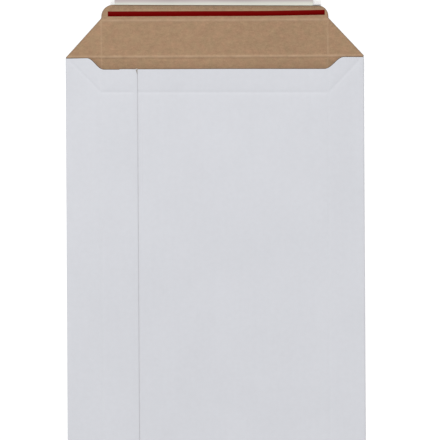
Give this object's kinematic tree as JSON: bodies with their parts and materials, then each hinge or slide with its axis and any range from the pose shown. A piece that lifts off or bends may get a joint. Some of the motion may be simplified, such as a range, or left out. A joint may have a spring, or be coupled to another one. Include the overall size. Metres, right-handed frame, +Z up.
{
  "type": "cardboard envelope",
  "caption": "Flat mailing envelope of solid board, white outside and brown inside, with a glued pocket and a folding closure flap that carries a tear strip and a peel-off adhesive line.",
  "frame": {"origin": "middle of the pocket's back face, on the surface that the envelope lies on", "axes": "+X across the pocket, +Y from the bottom fold to the closure flap, +Z up from the back to the front"},
  "size_m": [0.25, 0.401, 0.0067],
  "materials": {
    "board": "matte",
    "tape": "satin",
    "glue": "satin",
    "liner": "satin"
  },
  "bodies": {
    "pocket": {"pocket": "board", "side_seam_glue": "glue", "bottom_glue_left": "glue", "bottom_glue_right": "glue"},
    "flap": {"closure_flap": "board", "tear_strip": "tape", "adhesive_strip": "glue", "release_liner": "liner"}
  },
  "joints": [
    {"name": "flap_crease", "type": "hinge", "parent": "pocket", "child": "flap", "pos_m": [0, 0.1765, 0.0038], "axis": [1, 0, 0], "range_deg": [0, 178]}
  ]
}
